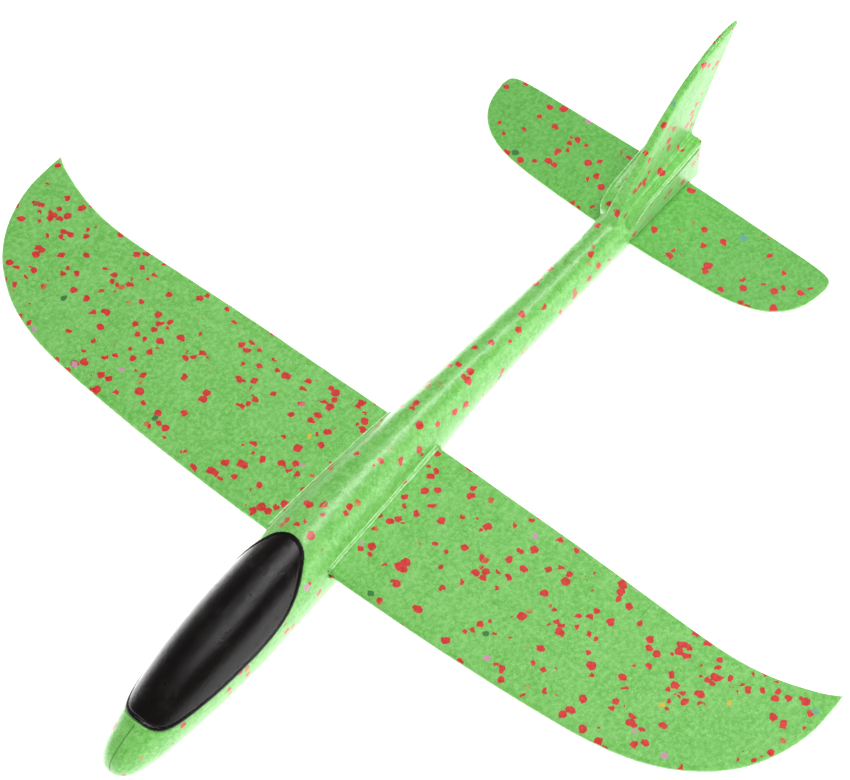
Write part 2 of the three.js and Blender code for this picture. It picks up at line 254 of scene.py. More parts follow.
def boss_crown(x, y):
    """The block's top: a soft valley beside the fin, then a slightly raised border."""
    ya = np.abs(y)
    return step01(-x, 112.0, 121.0) * (0.25 * np.exp(-((ya - 9.7) / 1.0) ** 2) - 0.5 * np.exp(-((ya - 4.7) / 0.9) ** 2))


def boss(x, y, z):
    top, half = BOSS_TOP(x), BOSS_HALF(x)
    side = np.abs(y) - half * (1 - 0.07 * np.clip((top - z) / (top - BOSS_BOTTOM), 0, 1))
    f = rmax(side, np.maximum(x + 110.7, -167.7 - x), 2.6)
    up = (z - top - boss_crown(x, y)) / np.sqrt(1 + np.minimum(np.abs(BOSS_TOP.slope(x)), 1.2) ** 2)
    f = rmax(f, up, 0.7)
    return rmax(f, BOSS_BOTTOM - z, 1.0)


_fz = [r[0] for r in FIN]
FIN_LE, FIN_TE, FIN_T = (Curve(_fz, [r[i] for r in FIN], 2500, 0.35) for i in (1, 2, 3))


def fin(x, y, z):
    zc = np.clip(z, -2, 69)
    le, te, t = FIN_LE(zc), FIN_TE(zc), FIN_T(zc)
    fore = (x - le) / np.sqrt(1 + FIN_LE.slope(zc) ** 2)
    aft = (te - x) / np.sqrt(1 + FIN_TE.slope(zc) ** 2)
    chord = np.maximum(le - te, 4.0)
    u = np.clip((le - x) / chord, 0, 1)
    g = 1 - 0.34 * step01(u, 0.45, 1.0) - 0.06 * step01(0.25 - u, 0, 0.25)
    # a border of full thickness follows the leading edge, the side panels lie a little lower
    panel = 0.22 * step01(-fore, 4.3, 5.1) * step01(z, 17.0, 24.0)
    side = np.abs(y) - (0.5 * t * g - panel)
    f = rmax(side, fore, np.clip(0.27 * t, 0.8, 1.35))
    f = rmax(f, aft, 0.9)
    f = rmax(f, z - 68.9, 0.9)
    return rmax(f, -4 - z, 0.5)


def upper_slit(x, z):
    q = np.array(UPPER_SLOT)[::-1]
    lo, hi = np.interp(x, q[:, 0], q[:, 1]), np.interp(x, q[:, 0], q[:, 2])
    return np.maximum(np.maximum(lo - z, z - hi), np.maximum(x + 129, -163 - x))


SECTION_U = Curve([0, .05, .14, .33, .6, .82, .975, 1], [.62, .80, .95, 1, .89, .68, .50, .47], 1200, 0.02)


class Plane:
    """A thin moulded flying surface: outline, thickness along chord and span."""

    def __init__(self, rows, z0, thickness, clamp_y, r_le, r_te, inset):
        self.rows, self.z0, self.thickness = rows, z0, thickness
        self.r_le, self.r_te = r_le, r_te
        ys = [r[0] for r in rows]
        self.le, self.te = Curve(ys, [r[1] for r in rows]), Curve(ys, [r[2] for r in rows])
        self.clamp_y = clamp_y
        le = [(x, y) for y, x, _ in rows]
        te = [(x, y) for y, _, x in rows]
        tip = rows[-1][0]
        nose, tail = catmull(le, 10), catmull(te, 10)
        mid = 0.5 * (nose[-1] + tail[-1]) + np.array([0, 0.0])
        # the tip's last corner pair is closed by a small round
        cap = []
        a, b = nose[-1], tail[-1]
        for t in np.linspace(0, 1, 9)[1:-1]:
            cap.append((a * (1 - t) + b * t) + np.array([0, 0.45 * math.sin(math.pi * t)]))
        self.outline = np.vstack([[(nose[0][0], -12.0)], nose, cap, tail[::-1], [(tail[0][0], -12.0)]])
        x0, x1 = self.outline[:, 0].min() - 8, self.outline[:, 0].max() + 8

        def fill(gx, gy):
            d = line_distance(gx, gy, self.outline)
            inside = (gx < np.interp(gy, nose[:, 1], nose[:, 0])) & (gx > np.interp(gy, tail[:, 1], tail[:, 0])) & (gy < tip)
            return np.where(inside, -d, d) + inset

        self.plan = Sheet(x0, x1, 0.0, tip + 8, 0.5, fill)

    def edge(self, x, y):
        return self.plan(x, np.abs(y))

    def half_thickness(self, x, y):
        ya = np.abs(y)
        yc = np.minimum(ya, self.clamp_y)
        le, te = self.le(yc), self.te(yc)
        u = np.clip((le - x) / (le - te), 0, 1)
        return SECTION_U(u) * self.thickness(ya), u

    def field(self, x, y, z, grow=0.0):
        t, u = self.half_thickness(x, y)
        r = self.r_le + (self.r_te - self.r_le) * step01(u, 0.6, 0.92)
        d = self.edge(x, y)
        up = (z - self.z0) - 0.56 * t
        down = -(z - self.z0) - 0.44 * t
        return np.maximum(rmax(up, d, r), rmax(down, d, r * 0.9)) - grow

    def root(self, x, z, grow=0.0):
        """The section at the root, endless along y."""
        return self.field(x, np.zeros_like(x * 1.0), z, grow)


wing = Plane(WING, 0.0, lambda y: 6.2 - 2.0 * np.clip((y - 31) / 209.0, 0, 1), 196.0, 1.55, 0.8, PARTING)
tail = Plane(TAILPLANE, TAIL_Z, lambda y: 3.8 - 0.9 * np.clip(y / 100.0, 0, 1), 78.0, 1.1, 0.6, 0.25)

_edge = catmull(CANOPY_EDGE, 10)
_edge = np.vstack([[(250.6, 9.8)], [(243.6, 2.8)], _edge, [(126.5, 19.4)], [(126.5, 60)]])


def _fill_edge(gx, gz):
    d = line_distance(gx, gz, _edge)
    line = _edge[1:-1]
    zz = np.interp(gx, line[::-1, 0], line[::-1, 1])
    inside = (gx > 126.5) & (gx < 250.6) & (gz > np.where(gx > 240.6, gx - 240.8, zz))
    return np.where(inside, d, -d)


CANOPY_SHEET = Sheet(110, 262, -24, 40, 0.4, _fill_edge)


def flange_reach(x):
    """How far the lip round the wing slot stands out of the side; it steps in at mid chord."""
    return 1.9 - 0.45 * step01(x, 68.0, 71.0)


def slot_flange(x, y, z, base, slot):
    """The raised lip that stands around the wing slot on the fuselage's sides."""
    return rmax(base - flange_reach(x), slot - 0.95, 0.4)


def fuselage(x, y, z):
    base = body(x, y, z)
    f = rmax(base, -167.4 - x, 1.2)
    f = rmax(f, x - 260.9, 0.6)
    wing_slot = wing.root(x, z, SNUG)
    near_wing = (np.max(x) > 30)
    if near_wing:
        f = smin(f, slot_flange(x, y, z, base, wing_slot), 0.7)
    if np.min(x) < -90:
        f = smin(f, boss(x, y, z), 0.5)
        f = smin(f, fin(x, y, z), 1.8)
        f = rmax(f, -tail.root(x, z, GAP), 0.45)
        f = rmax(f, -upper_slit(x, z), 0.3)
    f = rmax(f, BELLY_Z - z, 1.6)
    if near_wing:
        f = rmax(f, -wing_slot, 0.45)
        edge = CANOPY_SHEET(x, z)
        f = rmax(f, np.minimum(edge + GAP, base + 0.9), 0.25)
        bore = np.maximum(np.hypot(x - 222, y) - 4.35, -14.35 - z)
        f = np.maximum(f, -bore)
    return f


def canopy(x, y, z):
    base = body(x, y, z)
    d = CANOPY_SHEET(x, z)
    e = 0.5
    dx, dz = (CANOPY_SHEET(x + e, z) - CANOPY_SHEET(x - e, z)) / (2 * e), (CANOPY_SHEET(x, z + e) - CANOPY_SHEET(x, z - e)) / (2 * e)
    nx, ny, nz = ((body(x + a, y + b, z + c) - body(x - a, y - b, z - c)) / (2 * e) for a, b, c in ((e, 0, 0), (0, e, 0), (0, 0, e)))
    n = np.maximum(np.sqrt(nx * nx + ny * ny + nz * nz), 1e-3)
    flat = (dx * nx + dz * nz) / n / np.maximum(np.hypot(dx, dz), 0.3)
    s = d / np.sqrt(np.clip(1 - flat * flat, 0.09, 1))
    # raised rim, then a groove, then the bubble
    lift = 0.55 + 0.16 * step01(s, 0, 0.5) * step01(1.5 - s, 0, 0.5) - 0.42 * np.exp(-((s - 1.95) / 0.40) ** 2)
    return rmax(rmax(base - lift, -d, 0.35), -(base + 0.55), 0.15)


def canopy_skin(x, y, z):
    return body(x, y, z) - 0.55


def wing_main(x, y, z):
    f = wing.field(x, y, z)
    ya = np.abs(y)
    cut = np.maximum(x - (HINGE_X + GAP), np.maximum(FLAP_IN - 0.03 - ya, ya - FLAP_OUT - 0.03))
    return rmax(f, -cut, 0.06)


def flap(x, y, z):
    f = wing.field(x, y, z)
    ya = np.abs(y)
    wedge = (x - HINGE_X + FLAP_V * np.abs(z - HINGE_Z)) * math.cos(math.radians(17))
    f = rmax(f, wedge, 0.12)
    return rmax(f, np.maximum(FLAP_IN + 0.03 - ya, ya - FLAP_OUT + 0.03), 0.06)


def tailplane(x, y, z):
    return tail.field(x, y, z)


# ------------------------------------------------------------------ surface nets
def gradient(field, p, e=0.03):
    g = np.empty_like(p)
    for a in range(3):
        lo, hi = p.copy(), p.copy()
        lo[:, a] -= e
        hi[:, a] += e
        g[:, a] = (field(*hi.T) - field(*lo.T)) / (2 * e)
    return g


def ticks(parts):
    """Grid lines from (start, end, spacing) stretches."""
    out = []
    for start, end, h in parts:
        n = max(2, int(round((end - start) / (h * 1))))
        out.append(np.linspace(start, end, n, endpoint=False))
    return np.concatenate(out + [[parts[-1][1]]])


def surface(field, spans, settle=3):
    """Quads on the field's zero, one vertex for each cell it crosses, settled onto the exact surface."""
    axes = [ticks(parts) for parts in spans]
    h = [float(np.diff(a).min()) for a in axes]
    chunks = []
    n = len(axes[0])
    for i in range(0, n, 96):
        xs = axes[0][i:i + 96]
        chunks.append(np.broadcast_to(field(xs[:, None, None], axes[1][None, :, None], axes[2][None, None, :]),
                                      (len(xs), len(axes[1]), len(axes[2]))).astype(np.float32))
    f = np.concatenate(chunks)
    inside = f < 0
    count = np.zeros(tuple(s - 1 for s in f.shape), np.int8)
    for a in (0, 1):
        for b in (0, 1):
            for c in (0, 1):
                count += inside[a:f.shape[0] - 1 + a, b:f.shape[1] - 1 + b, c:f.shape[2] - 1 + c]
    cells = np.argwhere((count > 0) & (count < 8))
    index = np.full(count.shape, -1, np.int32)
    index[tuple(cells.T)] = np.arange(len(cells))
    total = np.zeros((len(cells), 3))
    hits = np.zeros(len(cells))
    corners = [np.array((a, b, c)) for a in (0, 1) for b in (0, 1) for c in (0, 1)]
    for u in corners:
        for axis in range(3):
            if u[axis] == 0:
                w = u.copy()
                w[axis] = 1
                fa = f[tuple((cells + u).T)].astype(float)
                fb = f[tuple((cells + w).T)].astype(float)
                cross = (fa < 0) != (fb < 0)
                t = np.where(cross, fa / np.where(cross, fa - fb, 1), 0)
                pos = (cells + u).astype(float)
                pos[:, axis] += t
                total += pos * cross[:, None]
                hits += cross
    v = total / hits[:, None]
    v = np.stack([np.interp(v[:, a], np.arange(len(axes[a])), axes[a]) for a in range(3)], 1)
    for _ in range(settle):
        g = gradient(field, v)
        m = np.maximum((g * g).sum(1), 0.04)
        move = -(field(*v.T) / m)[:, None] * g
        size = np.linalg.norm(move, axis=1)
        limit = 0.4 * min(h)
        move *= np.minimum(1, limit / np.maximum(size, 1e-9))[:, None]
        v = v + move
    faces = []
    for axis in range(3):
        a1, a2 = (axis + 1) % 3, (axis + 2) % 3
        lo_s = [slice(None)] * 3
        hi_s = [slice(None)] * 3
        lo_s[axis], hi_s[axis] = slice(0, -1), slice(1, None)
        change = inside[tuple(lo_s)] != inside[tuple(hi_s)]
        edge = np.argwhere(change)
        keep = (edge[:, a1] > 0) & (edge[:, a2] > 0) & (edge[:, a1] < f.shape[a1] - 1) & (edge[:, a2] < f.shape[a2] - 1)
        edge = edge[keep]
        start_inside = inside[tuple(edge.T)]
        quad = []
        for d1, d2 in ((0, 0), (-1, 0), (-1, -1), (0, -1)):
            c = edge.copy()
            c[:, a1] += d1
            c[:, a2] += d2
            quad.append(index[tuple(c.T)])
        quad = np.array(quad).T
        quad = np.where(start_inside[:, None], quad, quad[:, ::-1])
        faces.append(quad)
    faces = np.concatenate(faces)
    return v, faces


def normals_of(field, v):
    g = gradient(field, v)
    return g / np.maximum(np.linalg.norm(g, axis=1, keepdims=True), 1e-9)


def largest_part(v, faces):
    """Drops loose crumbs: keeps the faces joined to the biggest connected piece."""
    label = np.arange(len(v))
    for _ in range(400):
        low = label[faces].min(1)
        new = label.copy()
        np.minimum.at(new, faces.ravel(), np.repeat(low, 4))
        new = new[new]
        if (new == label).all():
            break
        label = new
    big = np.bincount(label[faces[:, 0]]).argmax()
    faces = faces[label[faces[:, 0]] == big]
    used = np.unique(faces)
    remap = np.full(len(v), -1)
    remap[used] = np.arange(len(used))
    return used, remap[faces]


def beads(v, n, seed, coarse=0.055, fine=0.035):
    """The foam skin's slight unevenness, as real relief."""
    d = coarse * value_noise(v, 7.0, seed) + fine * value_noise(v, 2.6, seed + 1)
    return v + n * d[:, None]


def make_mesh(name, v, faces, material, custom=None):
    me = bpy.data.meshes.new(name)
    faces = np.asarray(faces)
    k = faces.shape[1]
    me.vertices.add(len(v))
    me.vertices.foreach_set("co", ((v + SHIFT) * 0.001).astype(np.float32).ravel())
    me.loops.add(faces.size)
    me.loops.foreach_set("vertex_index", faces.astype(np.int32).ravel())
    me.polygons.add(len(faces))
    me.polygons.foreach_set("loop_start", np.arange(0, faces.size, k, dtype=np.int32))
    me.polygons.foreach_set("loop_total", np.full(len(faces), k, np.int32))
    me.update(calc_edges=True)
    me.polygons.foreach_set("use_smooth", np.ones(len(faces), bool))
    me.validate()
    if custom is not None:
        me.normals_split_custom_set_from_vertices(custom.tolist())
    me.materials.append(material)
    o = bpy.data.objects.new(name, me)
    bpy.context.scene.collection.objects.link(o)
    return o


def net_object(name, field, spans, material, seed=None, exact=False, amount=1.0):
    v, faces = surface(field, spans)
    used, faces = largest_part(v, faces)
    v = v[used]
    n = normals_of(field, v)
    if seed is not None:
        v = beads(v, n, seed, 0.055 * amount, 0.035 * amount)
    v = np.clip(v, (-203.18, -239.96, BELLY_Z), (260.96, 239.96, 68.96))
    return make_mesh(name, v, faces, material, n if exact else None)


def sweep(path, outward, profile, closed=False):
    """A strip along path: profile points (a, b) go a along outward and b along the third direction."""
    path, outward = np.array(path, float), np.array(outward, float)
    tangent = np.gradient(path, axis=0)
    if closed:
        tangent = np.roll(path, -1, 0) - np.roll(path, 1, 0)
    tangent /= np.linalg.norm(tangent, axis=1, keepdims=True)
    outward = outward - (outward * tangent).sum(1, keepdims=True) * tangent
    outward /= np.linalg.norm(outward, axis=1, keepdims=True)
    third = np.cross(tangent, outward)
    prof = np.array(profile, float)
    n, m = len(path), len(prof)
    v = (path[:, None, :] + prof[None, :, 0, None] * outward[:, None, :] + prof[None, :, 1, None] * third[:, None, :]).reshape(-1, 3)
    faces = []
    for i in range(n if closed else n - 1):
        j = (i + 1) % n
        for k in range(m):
            l = (k + 1) % m
            faces.append((i * m + k, j * m + k, j * m + l, i * m + l))
    if not closed:
        v = np.vstack([v, path[0], path[-1]])
        for k in range(m):
            l = (k + 1) % m
            faces.append((n * m, k, l, l))
            faces.append((n * m + 1, (n - 1) * m + l, (n - 1) * m + k, (n - 1) * m + k))
    return v, faces


def poly_object(name, v, faces, material):
    me = bpy.data.meshes.new(name)
    clean = [tuple(dict.fromkeys(int(i) for i in f)) for f in faces]
    me.from_pydata(((np.asarray(v) + SHIFT) * 0.001).tolist(), [], clean)
    me.polygons.foreach_set("use_smooth", np.ones(len(me.polygons), bool))
    me.update()
    me.materials.append(material)
    o = bpy.data.objects.new(name, me)
    bpy.context.scene.collection.objects.link(o)
    return o


# ------------------------------------------------------------------ materials
def srgb(r, g, b):
    def lin(c):
        c = c / 255
        return c / 12.92 if c <= 0.04045 else ((c + 0.055) / 1.055) ** 2.4
    return (lin(r), lin(g), lin(b), 1.0)


class Nodes:
    def __init__(self, name):
        self.mat = bpy.data.materials.new(name)
        self.mat.use_nodes = True
        self.tree = self.mat.node_tree
        self.tree.nodes.clear()
        self.out = self.tree.nodes.new("ShaderNodeOutputMaterial")
        self.shader = self.tree.nodes.new("ShaderNodeBsdfPrincipled")
        self.link(self.shader.outputs[0], self.out.inputs[0])

    def new(self, kind, **props):
        n = self.tree.nodes.new(kind)
        for k, v in props.items():
            setattr(n, k, v)
        return n

    def link(self, a, b):
        self.tree.links.new(a, b)

    def put(self, socket, value):
        if isinstance(value, bpy.types.NodeSocket):
            self.link(value, socket)
        else:
            socket.default_value = value

    def math(self, op, a, b=0.0, c=0.0, clamp=False):
        n = self.new("ShaderNodeMath", operation=op, use_clamp=clamp)
        self.put(n.inputs[0], a)
        self.put(n.inputs[1], b)
        self.put(n.inputs[2], c)
        return n.outputs[0]

    def ramp(self, value, lo, hi, a=0.0, b=1.0):
        n = self.new("ShaderNodeMapRange", interpolation_type="SMOOTHSTEP")
        self.put(n.inputs["Value"], value)
        for k, v in (("From Min", lo), ("From Max", hi), ("To Min", a), ("To Max", b)):
            n.inputs[k].default_value = v
        return n.outputs[0]

    def mix(self, factor, a, b):
        n = self.new("ShaderNodeMix", data_type="RGBA", blend_type="MIX")
        self.put(n.inputs[0], factor)
        self.put(n.inputs[6], a)
        self.put(n.inputs[7], b)
        return n.outputs[2]

    def mm(self, offset=(0, 0, 0)):
        """Object coordinates in millimetres."""
        c = self.new("ShaderNodeTexCoord")
        n = self.new("ShaderNodeVectorMath", operation="MULTIPLY_ADD")
        self.link(c.outputs["Object"], n.inputs[0])
        n.inputs[1].default_value = (1000, 1000, 1000)
        n.inputs[2].default_value = offset
        return n.outputs[0]

    def noise(self, p, size, detail=2.0, rough=0.5, color=False):
        n = self.new("ShaderNodeTexNoise", noise_dimensions="3D")
        self.link(p, n.inputs["Vector"])
        n.inputs["Scale"].default_value = 1.0 / size
        n.inputs["Detail"].default_value = detail
        n.inputs["Roughness"].default_value = rough
        return n.outputs["Color" if color else "Fac"]

    def add_vec(self, a, b, scale):
        n = self.new("ShaderNodeVectorMath", operation="MULTIPLY_ADD")
        self.link(b, n.inputs[0])
        n.inputs[1].default_value = (scale, scale, scale)
        self.link(a, n.inputs[2])
        return n.outputs[0]


def foam(name, offset, tone=(1.0, 1.0, 1.0), rough=0.36, specular=0.5, cut=0.82, sheen=0.0):
    """Moulded bead foam: green beads of slightly different tone, some red, a few of other colours."""
    k = Nodes(name)
    p = k.mm(offset)
    warp = k.noise(p, 3.0, 1.0, 0.5, color=True)
    q = k.add_vec(p, warp, 1.0)
    q = k.add_vec(q, k.noise(p, 1.3, 0.0, 0.5, color=True), 0.75)
    cell = k.new("ShaderNodeTexVoronoi", voronoi_dimensions="3D", feature="SMOOTH_F1", distance="EUCLIDEAN")
    k.link(q, cell.inputs["Vector"])
    cell.inputs["Scale"].default_value = 1 / 3.9
    cell.inputs["Smoothness"].default_value = 0.10
    cell.inputs["Randomness"].default_value = 0.9
    rgb = k.new("ShaderNodeSeparateColor")
    k.link(cell.outputs["Color"], rgb.inputs[0])
    round_off = k.ramp(cell.outputs["Distance"], 0.44, 0.82, 0.0, 0.36)
    drift = k.math("MULTIPLY_ADD", k.noise(p, 30.0, 1.0, 0.5), 0.14, -0.07)
    r = k.math("ADD", k.math("SUBTRACT", rgb.outputs[0], round_off), drift)
    g = k.math("SUBTRACT", rgb.outputs[1], round_off)
    b = k.math("SUBTRACT", rgb.outputs[2], round_off)
    red = k.ramp(r, cut - 0.008, cut + 0.008)

    large = k.noise(p, 12.0, 2.0, 0.55)
    medium = k.noise(p, 2.2, 2.0, 0.65)
    fine = k.noise(p, 0.62, 2.0, 0.7)
    dark = tuple(c * t for c, t in zip(srgb(92, 183, 64), tone)) + (1,)
    mid = tuple(c * t for c, t in zip(srgb(121, 204, 92), tone)) + (1,)
    light = tuple(c * t for c, t in zip(srgb(156, 226, 132), tone)) + (1,)
    green = k.mix(k.ramp(medium, 0.30, 0.70), dark, light)
    green = k.mix(0.34, green, mid)
    green = k.mix(k.math("MULTIPLY", k.ramp(fine, 0.5, 0.70), 0.62), green, light)
    green = k.mix(k.math("MULTIPLY", k.ramp(fine, 0.5, 0.30), 0.68), green, dark)
    green = k.mix(k.math("MULTIPLY", k.ramp(large, 0.4, 0.65), 0.22), green, light)
    green = k.mix(k.ramp(rgb.outputs[1], 0.1, 0.9, 0.0, 0.16), green, dark)

    redtone = k.mix(k.ramp(medium, 0.3, 0.7), srgb(210, 36, 38), srgb(232, 60, 64))
    redtone = k.mix(k.ramp(cell.outputs["Distance"], 0.36, 0.62, 0.0, 0.55), redtone, srgb(172, 72, 40))
    colour = k.mix(red, green, redtone)
    for channel, at, tint in ((b, 0.9972, srgb(214, 150, 186)), (g, 0.9976, srgb(226, 196, 52))):
        colour = k.mix(k.ramp(channel, at - 0.002, at + 0.001), colour, tint)
    dim = k.math("SUBTRACT", k.math("SUBTRACT", 1.0, rgb.outputs[2]), round_off)
    colour = k.mix(k.ramp(dim, 0.9972, 0.9985), colour, srgb(62, 128, 66))
    cool = k.math("SUBTRACT", k.math("SUBTRACT", 1.0, rgb.outputs[1]), round_off)
    colour = k.mix(k.ramp(cool, 0.9975, 0.999), colour, srgb(96, 170, 178))
    k.link(colour, k.shader.inputs["Base Color"])

    rr = k.math("MULTIPLY_ADD", medium, 0.14, rough - 0.07)
    k.link(rr, k.shader.inputs["Roughness"])
    k.shader.inputs["Specular IOR Level"].default_value = specular
    k.shader.inputs["Sheen Weight"].default_value = sheen
    k.shader.inputs["Sheen Roughness"].default_value = 0.35
    bead = k.math("MULTIPLY", cell.outputs["Distance"], -0.06)
    h = k.math("ADD", bead, k.math("MULTIPLY_ADD", medium, 0.14, k.math("MULTIPLY", fine, 0.07)))
    bump = k.new("ShaderNodeBump")
    bump.inputs["Strength"].default_value = 1.0
    bump.inputs["Distance"].default_value = 0.001
    k.link(h, bump.inputs["Height"])
    k.link(bump.outputs[0], k.shader.inputs["Normal"])
    return k.mat


def skin(name, low, high, rough=0.3):
    """Smoother foam skin on ridges, lips and seams, mottled between two tones; the pale and dark tones given below are
    painted highlight and painted shade.
    """
    k = Nodes(name)
    p = k.mm()
    n = k.noise(p, 1.6, 3.0, 0.6)
    k.link(k.mix(k.ramp(n, 0.3, 0.7), low, high), k.shader.inputs["Base Color"])
    k.link(k.math("MULTIPLY_ADD", n, 0.12, rough - 0.06), k.shader.inputs["Roughness"])
    bump = k.new("ShaderNodeBump")
    bump.inputs["Distance"].default_value = 0.0001
    k.link(n, bump.inputs["Height"])
    k.link(bump.outputs[0], k.shader.inputs["Normal"])
    return k.mat


def gloss_black():
    k = Nodes("canopy_gloss_film")
    p = k.mm()
    k.shader.inputs["Base Color"].default_value = srgb(20, 18, 20)
    scuff = k.noise(p, 9.0, 3.0, 0.55)
    grain = k.noise(p, 0.8, 2.0, 0.6)
    wave = k.noise(p, 5.0, 2.0, 0.5)
    rr = k.math("ADD", k.math("MULTIPLY_ADD", k.ramp(scuff, 0.48, 0.7), 0.07, 0.10), k.math("MULTIPLY", grain, 0.12))
    k.link(rr, k.shader.inputs["Roughness"])
    k.shader.inputs["Specular IOR Level"].default_value = 0.3
    base = k.mix(k.ramp(scuff, 0.5, 0.85, 0.0, 0.35), srgb(19, 15, 15), srgb(44, 39, 38))
    k.link(base, k.shader.inputs["Base Color"])
    h = k.math("MULTIPLY_ADD", wave, 0.05, k.math("MULTIPLY", grain, 0.20))
    bump = k.new("ShaderNodeBump")
    bump.inputs["Strength"].default_value = 1.0
    bump.inputs["Distance"].default_value = 0.001
    k.link(h, bump.inputs["Height"])
    k.link(bump.outputs[0], k.shader.inputs["Normal"])
    return k.mat


def turned_steel():
    k = Nodes("turned_steel")
    p = k.mm()
    k.shader.inputs["Base Color"].default_value = srgb(172, 174, 176)
    k.shader.inputs["Metallic"].default_value = 1.0
    n = k.noise(p, 0.6, 3.0, 0.6)
    k.link(k.math("MULTIPLY_ADD", n, 0.2, 0.24), k.shader.inputs["Roughness"])
    bump = k.new("ShaderNodeBump")
    bump.inputs["Distance"].default_value = 0.00002
    k.link(n, bump.inputs["Height"])
    k.link(bump.outputs[0], k.shader.inputs["Normal"])
    return k.mat


FOAM_BODY = foam("foam_green_body", (40.0, 15.0, 8.0), rough=0.32, cut=0.885, sheen=0.42)
FOAM_WING = foam("foam_green_wing", (0.0, 3.0, 0.0), rough=0.6, specular=0.28)
FOAM_TAIL = foam("foam_green_tail", (11.0, 37.0, 5.0), tone=(0.76, 0.87, 0.74), rough=0.55, specular=0.3, cut=0.86)
# pale tone of the ridges, lips and seams: painted highlight where their edges catch the light
RIDGE_PAINTED_HIGHLIGHT = skin("foam_ridge_painted_highlight", srgb(152, 220, 128), srgb(206, 244, 190))
# vent discs: the film's own black made darker and dull, painted shade of the pits
VENT_PIT_PAINTED_SHADE = skin("vent_pit_painted_shade", srgb(5, 5, 5), srgb(8, 8, 8), 0.95)
VENT_PIT_PAINTED_SHADE.node_tree.nodes["Principled BSDF"].inputs["Specular IOR Level"].default_value = 0.05
SKIN_EDGE = skin("foam_skin_edge", srgb(112, 190, 86), srgb(158, 222, 134), 0.45)
# dark tone of the nose seam: painted shade standing in for the shadow in a groove
SEAM_PAINTED_SHADE = skin("foam_seam_painted_shade", srgb(58, 120, 44), srgb(84, 152, 66), 0.5)
CANOPY = gloss_black()
STEEL = turned_steel()

# ------------------------------------------------------------------ pieces
fus = net_object("fuselage_foam", fuselage, (
    [(-206, -104, 0.717), (-104, 32, 1.288), (32, 136, 1.064), (136, 263, 1.232)],
    [(-23.2, 23.2, 0.829)],
    [(-29.5, -18, 0.896), (-18, 19, 0.694), (19, 70.5, 0.874)]), FOAM_BODY, seed=11, amount=1.5)
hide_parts("fuselage")
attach(fus, "fuselage_body")

can = net_object("canopy_shell", canopy, ([(128, 244, 0.5)], [(-21.5, 21.5, 0.46)], [(-7.5, 19.5, 0.45)]), CANOPY, exact=True)
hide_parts("canopy")
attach(can, "fuselage_body")

wng = net_object("main_wing_foam", wing_main, (
    [(29, 57.7, 0.96), (57.7, 58.2, 0.1), (58.2, 131, 0.96)],
    [(-241, -144.3, 1.0), (-144.3, -143.8, 0.1), (-143.8, -32.2, 1.0), (-32.2, -31.7, 0.1), (-31.7, 31.7, 1.0),
     (31.7, 32.2, 0.1), (32.2, 143.8, 1.0), (143.8, 144.3, 0.1), (144.3, 241, 1.0)],
    [(-3.6, 4.4, 0.4)]), FOAM_WING, seed=21)
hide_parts("main_wing")
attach(wng, "wing_body")

for side, name, node, bodyname in ((1, "trim_flap_port_foam", "trim_flap_port", "flap_port_body"),
                                   (-1, "trim_flap_starboard_foam", "trim_flap_starboard", "flap_starboard_body")):
    span = [(31.5, 31.8, 0.3), (31.8, 32.3, 0.1), (32.3, 143.7, 0.9), (143.7, 144.2, 0.1), (144.2, 144.5, 0.3)]
    span = span if side > 0 else [(-b, -a, h) for a, b, h in span[::-1]]
    o = net_object(name, flap, ([(30, 56.5, 0.7), (56.5, 57.9, 0.14), (57.9, 58.3, 0.3)], span, [(-3.0, 3.4, 0.32)]), FOAM_WING, seed=21)
    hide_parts(node)
    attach(o, bodyname)

tpl = net_object("tailplane_foam", tailplane, ([(-160, -108, 0.62)], [(-101.5, 101.5, 0.62)], [(-10.4, -5.4, 0.33)]), FOAM_TAIL, seed=31)
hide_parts("tailplane")
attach(tpl, "tailplane_body")

# ------------------------------------------------------------------ hinge webs, lips and parting ridges
def wing_top(x, y):
    t, _ = wing.half_thickness(x, y)
    return 0.56 * t


def solve(field, start, direction, reach):
    """Where rays from inside the solid leave it."""
    start, direction = np.array(start, float), np.array(direction, float)
    direction = direction / np.linalg.norm(direction, axis=1, keepdims=True)
    lo, hi = np.zeros(len(start)), np.full(len(start), float(reach))
    for _ in range(40):
        mid = (lo + hi) / 2
        inside = field(*(start + direction * mid[:, None]).T) < 0
        lo, hi = np.where(inside, mid, lo), np.where(inside, hi, mid)
    return start + direction * lo[:, None]


def ridge(w, h, sink=0.4):
    return [(-sink, -0.8 * w), (0.0, -w), (0.62 * h, -0.72 * w), (0.92 * h, -0.34 * w), (0.92 * h, 0.34 * w), (0.62 * h, 0.72 * w),
            (0.0, w), (-sink, 0.8 * w)]


def even(path, step, extra=None):
    path = np.array(path, float)
    d = np.concatenate([[0], np.cumsum(np.linalg.norm(np.diff(path, axis=0), axis=1))])
    q = np.linspace(0, d[-1], max(3, int(d[-1] / (step * 1))))
    out = np.stack([np.interp(q, d, path[:, i]) for i in range(3)], 1)
    if extra is None:
        return out
    return out, np.stack([np.interp(q, d, np.array(extra)[:, i]) for i in range(3)], 1)


def strip(name, path, outward, profile, material, bodyname, closed=False):
    v, faces = sweep(path, outward, profile, closed)
    v[:, 2] = np.maximum(v[:, 2], BELLY_Z)
    o = poly_object(name, v, faces, material)
    bm = bmesh.new()
    bm.from_mesh(o.data)
    bmesh.ops.recalc_face_normals(bm, faces=bm.faces)
    bm.to_mesh(o.data)
    bm.free()
    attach(o, bodyname)
    return o


